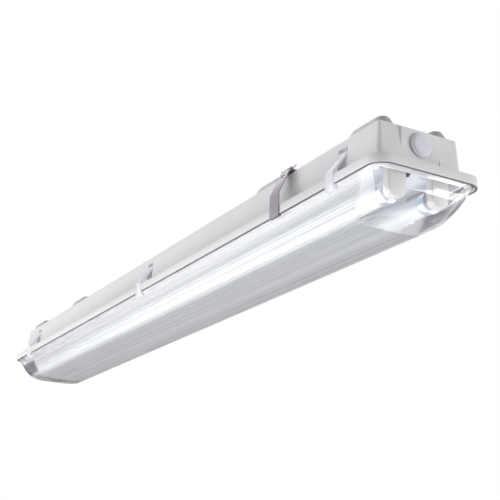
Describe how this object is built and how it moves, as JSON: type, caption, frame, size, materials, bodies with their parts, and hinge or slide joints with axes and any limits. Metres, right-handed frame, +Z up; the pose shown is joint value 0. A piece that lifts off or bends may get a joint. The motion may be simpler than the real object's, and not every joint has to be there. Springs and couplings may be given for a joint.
{
  "type": "vapor_tight_light_fixture",
  "caption": "Long surface ceiling light with a light grey moulded housing, a clear ribbed diffuser, two fluorescent tubes, side latches and a steel mounting bracket",
  "frame": {"origin": "On the ceiling plane, in the middle of the four fixing holes in the housing's feet", "axes": "+X along the fixture towards the end with the conduit plug, +Z up into the ceiling, so +Y is one long side"},
  "size_m": [1.283, 0.1532, 0.1165],
  "materials": {
    "housing": "light grey moulded polyester, fine satin",
    "gasket": "dark foam seal",
    "diffuser": "clear moulded plastic with prism ribs",
    "latch": "milky moulded plastic",
    "pin": "steel rod",
    "bracket": "dull steel strip",
    "wire": "spring wire",
    "tray": "white gloss enamel on steel",
    "screw": "dark plated steel",
    "ballast": "pale grey sheet case",
    "ballast_screw": "zinc plated steel",
    "terminal": "pale moulded block",
    "lampholder": "cream moulded plastic",
    "rotor": "white moulded plastic",
    "tube_glass": "opal coated glass, unlit",
    "cap": "bright cap metal",
    "contact": "brass pins",
    "lead": "pale blue insulation",
    "plug": "bluish grey moulded plastic",
    "plug_seal": "dark rubber washer"
  },
  "bodies": {
    "fixture": {"housing": "housing", "gasket": "gasket", "latch_pins": "pin", "mounting_bracket": "bracket", "bracket_hinge_wires": "wire", "gear_tray": "tray", "tray_screws": "screw", "ballast": "ballast", "ballast_screws": "ballast_screw", "terminal_block": "terminal", "lampholder_front_left": "lampholder", "lampholder_front_right": "lampholder", "lampholder_rear_left": "lampholder", "lampholder_rear_right": "lampholder", "leads_front": "lead", "leads_rear": "lead", "entry_plug": "plug", "plug_seal": "plug_seal", "plug_nut": "plug"},
    "diffuser": {"diffuser": "diffuser"},
    "latch_front_left": {"latch_front_left": "latch"},
    "latch_front_middle": {"latch_front_middle": "latch"},
    "latch_front_right": {"latch_front_right": "latch"},
    "latch_rear_left": {"latch_rear_left": "latch"},
    "latch_rear_middle": {"latch_rear_middle": "latch"},
    "latch_rear_right": {"latch_rear_right": "latch"},
    "arm_front": {"bracket_arm_front": "bracket"},
    "arm_rear": {"bracket_arm_rear": "bracket"},
    "lamp_front": {"rotor_front_left": "rotor", "rotor_front_right": "rotor", "tube_front": "tube_glass", "end_caps_front": "cap", "cap_pins_front": "contact"},
    "lamp_rear": {"rotor_rear_left": "rotor", "rotor_rear_right": "rotor", "tube_rear": "tube_glass", "end_caps_rear": "cap", "cap_pins_rear": "contact"}
  },
  "joints": [
    {"name": "diffuser_drop", "type": "slide", "parent": "fixture", "child": "diffuser", "axis": [0, 0, -1], "range_m": [0, 0.042]},
    {"name": "latch_front_left_turn", "type": "hinge", "parent": "fixture", "child": "latch_front_left", "pos_m": [-0.547, -0.05375, -0.03], "axis": [-1, 0, 0], "range_deg": [0, 75]},
    {"name": "latch_front_middle_turn", "type": "hinge", "parent": "fixture", "child": "latch_front_middle", "pos_m": [0, -0.05375, -0.03], "axis": [-1, 0, 0], "range_deg": [0, 75]},
    {"name": "latch_front_right_turn", "type": "hinge", "parent": "fixture", "child": "latch_front_right", "pos_m": [0.547, -0.05375, -0.03], "axis": [-1, 0, 0], "range_deg": [0, 75]},
    {"name": "latch_rear_left_turn", "type": "hinge", "parent": "fixture", "child": "latch_rear_left", "pos_m": [-0.547, 0.05375, -0.03], "axis": [1, 0, 0], "range_deg": [0, 75]},
    {"name": "latch_rear_middle_turn", "type": "hinge", "parent": "fixture", "child": "latch_rear_middle", "pos_m": [0, 0.05375, -0.03], "axis": [1, 0, 0], "range_deg": [0, 75]},
    {"name": "latch_rear_right_turn", "type": "hinge", "parent": "fixture", "child": "latch_rear_right", "pos_m": [0.547, 0.05375, -0.03], "axis": [1, 0, 0], "range_deg": [0, 75]},
    {"name": "arm_front_swing", "type": "hinge", "parent": "fixture", "child": "arm_front", "pos_m": [0.424, -0.0582, -0.0091], "axis": [-1, 0, 0], "range_deg": [0, 35]},
    {"name": "arm_rear_swing", "type": "hinge", "parent": "fixture", "child": "arm_rear", "pos_m": [0.424, 0.0582, -0.0091], "axis": [1, 0, 0], "range_deg": [0, 35]},
    {"name": "lamp_front_turn", "type": "hinge", "parent": "fixture", "child": "lamp_front", "pos_m": [0, -0.03, -0.0875], "axis": [1, 0, 0], "range_deg": [0, 90]},
    {"name": "lamp_rear_turn", "type": "hinge", "parent": "fixture", "child": "lamp_rear", "pos_m": [0, 0.03, -0.0875], "axis": [1, 0, 0], "range_deg": [0, 90]}
  ],
  "couplings": [
    {"joint": "latch_front_left_turn", "follows": "diffuser_drop", "rad_per_m": 31.166},
    {"joint": "latch_front_middle_turn", "follows": "diffuser_drop", "rad_per_m": 31.166},
    {"joint": "latch_front_right_turn", "follows": "diffuser_drop", "rad_per_m": 31.166},
    {"joint": "latch_rear_left_turn", "follows": "diffuser_drop", "rad_per_m": 31.166},
    {"joint": "latch_rear_middle_turn", "follows": "diffuser_drop", "rad_per_m": 31.166},
    {"joint": "latch_rear_right_turn", "follows": "diffuser_drop", "rad_per_m": 31.166}
  ]
}
